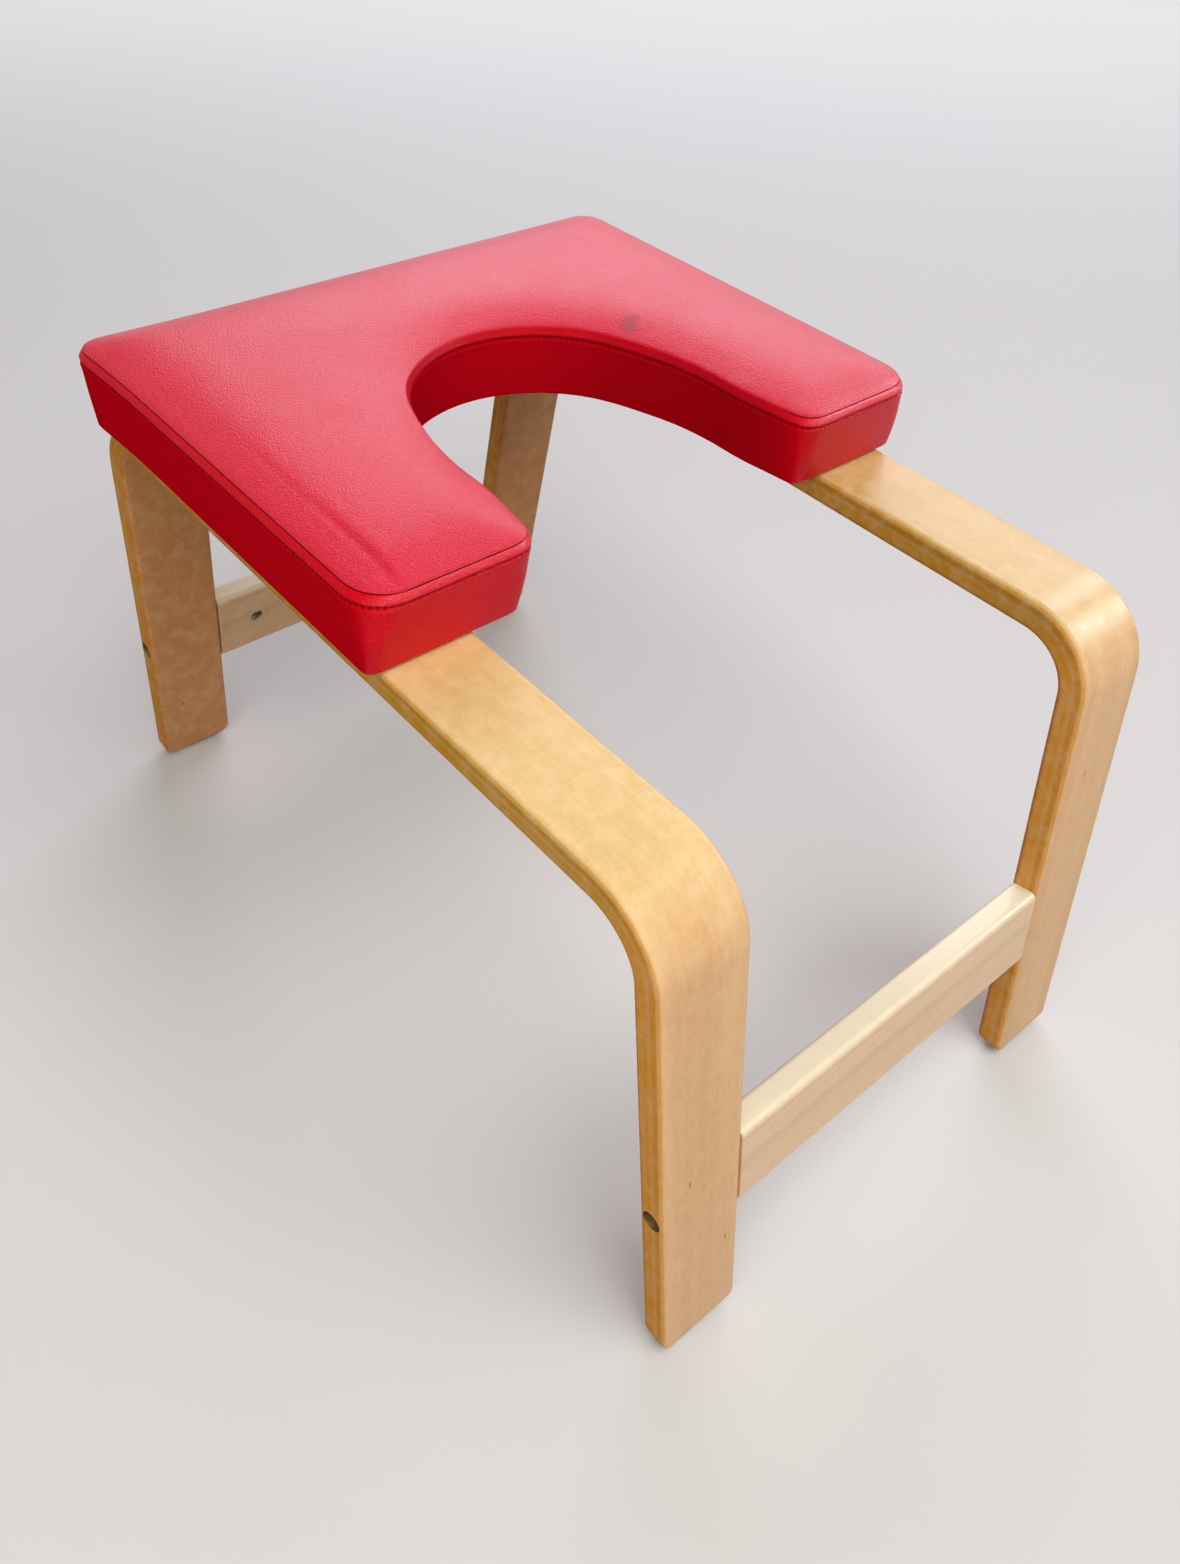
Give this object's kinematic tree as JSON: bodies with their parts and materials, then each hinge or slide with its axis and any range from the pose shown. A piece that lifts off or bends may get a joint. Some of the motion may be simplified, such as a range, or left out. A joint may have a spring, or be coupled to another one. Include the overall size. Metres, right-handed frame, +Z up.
{
  "type": "yoga headstand stool",
  "caption": "Low wooden stool of two bent side frames and two cross-rails, with a U-shaped red shoulder pad that leaves an opening for the head.",
  "frame": {"origin": "on the floor, under the middle of the stool's bounding box", "axes": "+X across to the user's right-hand frame seen from the open end, +Y to the rear where the pad closes behind the head opening, +Z up"},
  "size_m": [0.3848, 0.6102, 0.382],
  "materials": {
    "beech_strip": "clear satin lacquer over bent beech laminate, plies showing along the edges",
    "beech_rail": "clear satin lacquer over solid beech",
    "dowel_wood": "bare beech",
    "plywood": "bare sanded plywood",
    "zinc_steel": "bright zinc plating",
    "white_nylon": "moulded nylon",
    "red_leatherette": "fine-grained satin leatherette",
    "foam": "open-cell foam",
    "lining_cloth": "non-woven black cloth"
  },
  "bodies": {
    "root": {"left_side_frame": "beech_strip", "right_side_frame": "beech_strip", "front_cross_rail": "beech_rail", "rear_cross_rail": "beech_rail", "front_left_rail_bolt": "zinc_steel", "front_left_rail_washer": "zinc_steel", "front_left_barrel_nut": "zinc_steel", "front_left_lower_dowel": "dowel_wood", "front_left_upper_dowel": "dowel_wood", "front_left_foot_glide": "white_nylon", "front_left_tee_nut": "zinc_steel", "front_left_pad_washer": "zinc_steel", "front_left_pad_bolt": "zinc_steel", "front_right_rail_bolt": "zinc_steel", "front_right_rail_washer": "zinc_steel", "front_right_barrel_nut": "zinc_steel", "front_right_lower_dowel": "dowel_wood", "front_right_upper_dowel": "dowel_wood", "front_right_foot_glide": "white_nylon", "front_right_tee_nut": "zinc_steel", "front_right_pad_washer": "zinc_steel", "front_right_pad_bolt": "zinc_steel", "rear_left_rail_bolt": "zinc_steel", "rear_left_rail_washer": "zinc_steel", "rear_left_barrel_nut": "zinc_steel", "rear_left_lower_dowel": "dowel_wood", "rear_left_upper_dowel": "dowel_wood", "rear_left_foot_glide": "white_nylon", "rear_left_tee_nut": "zinc_steel", "rear_left_pad_washer": "zinc_steel", "rear_left_pad_bolt": "zinc_steel", "rear_right_rail_bolt": "zinc_steel", "rear_right_rail_washer": "zinc_steel", "rear_right_barrel_nut": "zinc_steel", "rear_right_lower_dowel": "dowel_wood", "rear_right_upper_dowel": "dowel_wood", "rear_right_foot_glide": "white_nylon", "rear_right_tee_nut": "zinc_steel", "rear_right_pad_washer": "zinc_steel", "rear_right_pad_bolt": "zinc_steel", "pad_base_board": "plywood", "pad_foam_core": "foam", "pad_side_band": "red_leatherette", "pad_top_panel": "red_leatherette", "pad_underside_lining": "lining_cloth"}
  },
  "joints": []
}
